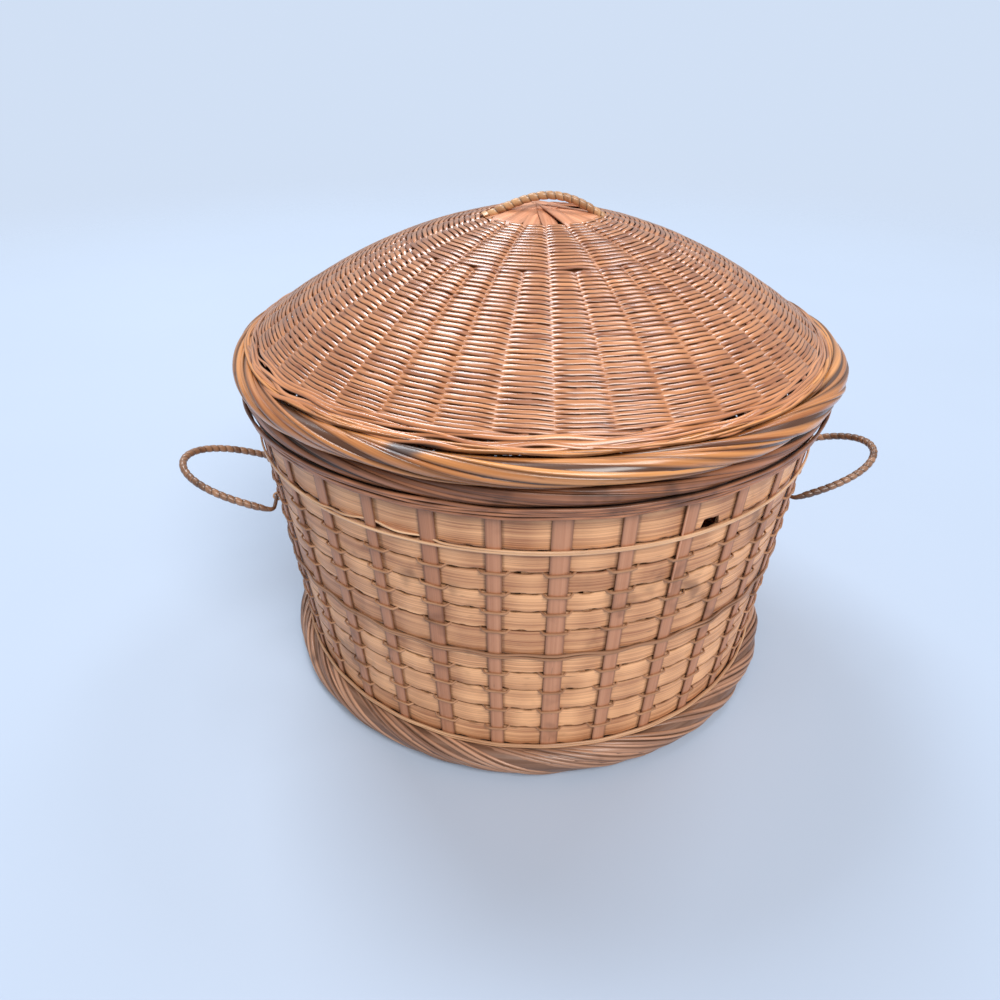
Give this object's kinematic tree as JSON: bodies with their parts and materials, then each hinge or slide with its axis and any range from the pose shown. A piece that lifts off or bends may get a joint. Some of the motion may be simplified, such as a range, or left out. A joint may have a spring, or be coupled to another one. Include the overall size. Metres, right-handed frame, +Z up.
{
  "type": "wicker picnic basket",
  "caption": "Round woven bamboo and cane basket with a hinged domed lid, twisted borders and two swinging cane ear handles.",
  "frame": {"origin": "centre of the foot's underside, on the surface that the basket stands on", "axes": "+Z up, front towards -Y, hinge at the back towards +Y, ear handles at about -X and +X"},
  "size_m": [0.4989, 0.4044, 0.3218],
  "materials": {
    "bamboo_band": "aged split bamboo, fine grain, satin",
    "bamboo_stake": "aged split bamboo, fine grain, satin",
    "foot_cane": "dark aged cane, satin",
    "border_cane": "amber cane, glossy",
    "lid_cane": "fine round cane, glossy",
    "pale_cane": "pale straw cane, satin",
    "handle_wrap": "flat cane strip, satin"
  },
  "bodies": {
    "basket": {"base_floor": "bamboo_band", "foot_border": "foot_cane", "foot_hoop": "pale_cane", "upper_hoop": "pale_cane", "rim_border": "foot_cane", "left_handle_binding": "pale_cane", "right_handle_binding": "pale_cane", "left_hinge_ring": "pale_cane", "right_hinge_ring": "pale_cane", "wall_band_01": "bamboo_band", "wall_band_02": "bamboo_band", "wall_band_03": "bamboo_band", "wall_band_04": "bamboo_band", "wall_band_05": "bamboo_band", "wall_band_06": "bamboo_band", "wall_band_07": "bamboo_band", "wall_band_08": "bamboo_band", "wall_band_09": "bamboo_band", "wall_band_10": "bamboo_band", "wall_band_11": "bamboo_band", "wall_stake_01": "bamboo_stake", "wall_stake_02": "bamboo_stake", "wall_stake_03": "bamboo_stake", "wall_stake_04": "bamboo_stake", "wall_stake_05": "bamboo_stake", "wall_stake_06": "bamboo_stake", "wall_stake_07": "bamboo_stake", "wall_stake_08": "bamboo_stake", "wall_stake_09": "bamboo_stake", "wall_stake_10": "bamboo_stake", "wall_stake_11": "bamboo_stake", "wall_stake_12": "bamboo_stake", "wall_stake_13": "bamboo_stake", "wall_stake_14": "bamboo_stake", "wall_stake_15": "bamboo_stake", "wall_stake_16": "bamboo_stake", "wall_stake_17": "bamboo_stake", "wall_stake_18": "bamboo_stake", "wall_stake_19": "bamboo_stake", "wall_stake_20": "bamboo_stake", "wall_stake_21": "bamboo_stake", "wall_stake_22": "bamboo_stake", "wall_stake_23": "bamboo_stake", "wall_stake_24": "bamboo_stake", "wall_stake_25": "bamboo_stake", "wall_stake_26": "bamboo_stake", "wall_stake_27": "bamboo_stake", "wall_stake_28": "bamboo_stake", "wall_stake_29": "bamboo_stake", "wall_stake_30": "bamboo_stake", "wall_stake_31": "bamboo_stake", "wall_stake_32": "bamboo_stake", "wall_stake_33": "bamboo_stake", "wall_stake_34": "bamboo_stake"},
    "lid": {"lid_border": "border_cane", "lid_weave": "lid_cane", "lid_ribs": "bamboo_stake", "lid_handle": "handle_wrap"},
    "left_handle": {"left_handle": "handle_wrap"},
    "right_handle": {"right_handle": "handle_wrap"}
  },
  "joints": [
    {"name": "lid_hinge", "type": "hinge", "parent": "basket", "child": "lid", "pos_m": [0, 0.195, 0.22225], "axis": [-1, 0, 0], "range_deg": [0, 105]},
    {"name": "left_handle_swing", "type": "hinge", "parent": "basket", "child": "left_handle", "pos_m": [-0.18462, -0.02494, 0.12349], "axis": [-0.1339, 0.991, 0], "range_deg": [-105, 55]},
    {"name": "right_handle_swing", "type": "hinge", "parent": "basket", "child": "right_handle", "pos_m": [0.18606, -0.00941, 0.12349], "axis": [-0.0505, -0.9987, 0], "range_deg": [-105, 55]}
  ]
}
